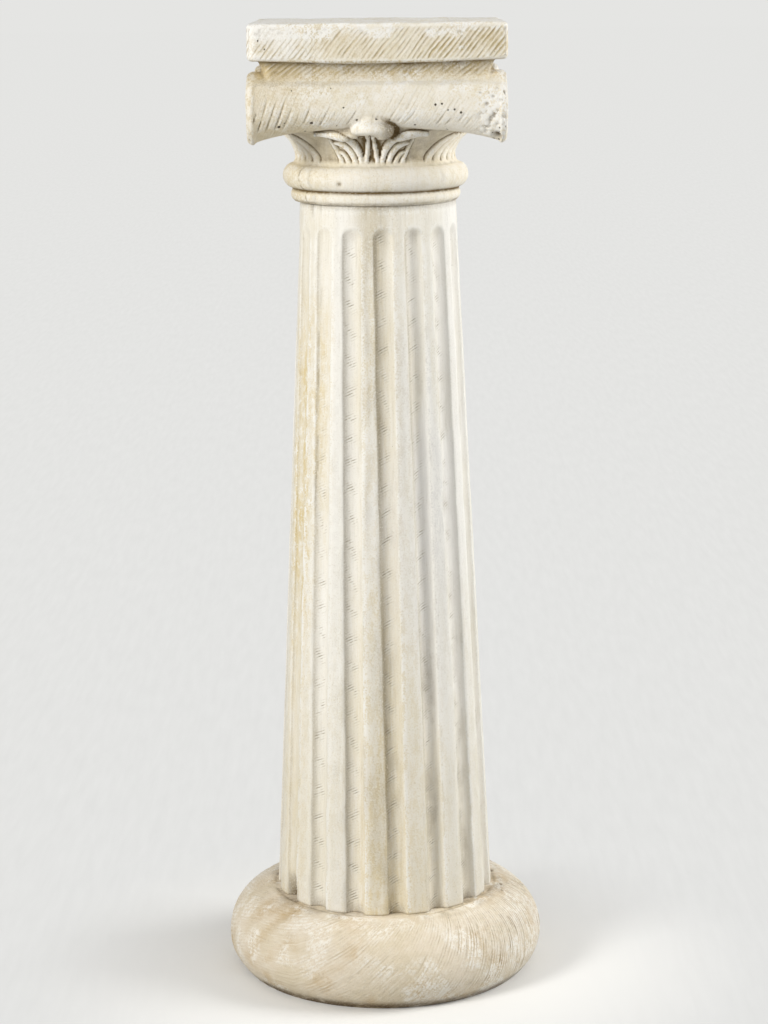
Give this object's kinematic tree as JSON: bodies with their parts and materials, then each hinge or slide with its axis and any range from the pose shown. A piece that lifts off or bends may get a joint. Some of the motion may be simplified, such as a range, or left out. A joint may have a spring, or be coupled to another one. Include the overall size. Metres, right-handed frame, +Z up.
{
  "type": "ionic pedestal column",
  "caption": "Free-standing fluted pedestal column: round bun base, tapering fluted shaft, and a square-topped capital with leaves and rolls.",
  "frame": {"origin": "centre of the base disc's underside, on the floor", "axes": "+Z up along the column's axis; -Y is the front, with a roll of the capital across it; the volutes face +X and -X"},
  "size_m": [0.322, 0.322, 0.96],
  "materials": {
    "aged_plaster": "matt, aged warm beige plaster with comb marks",
    "shaft_plaster": "matt, smooth off-white cast plaster",
    "capital_plaster": "matt, warm cream cast plaster with comb marks and dirt in the hollows"
  },
  "bodies": {
    "root": {"base": "aged_plaster", "shaft": "shaft_plaster", "capital": "capital_plaster"}
  },
  "joints": []
}
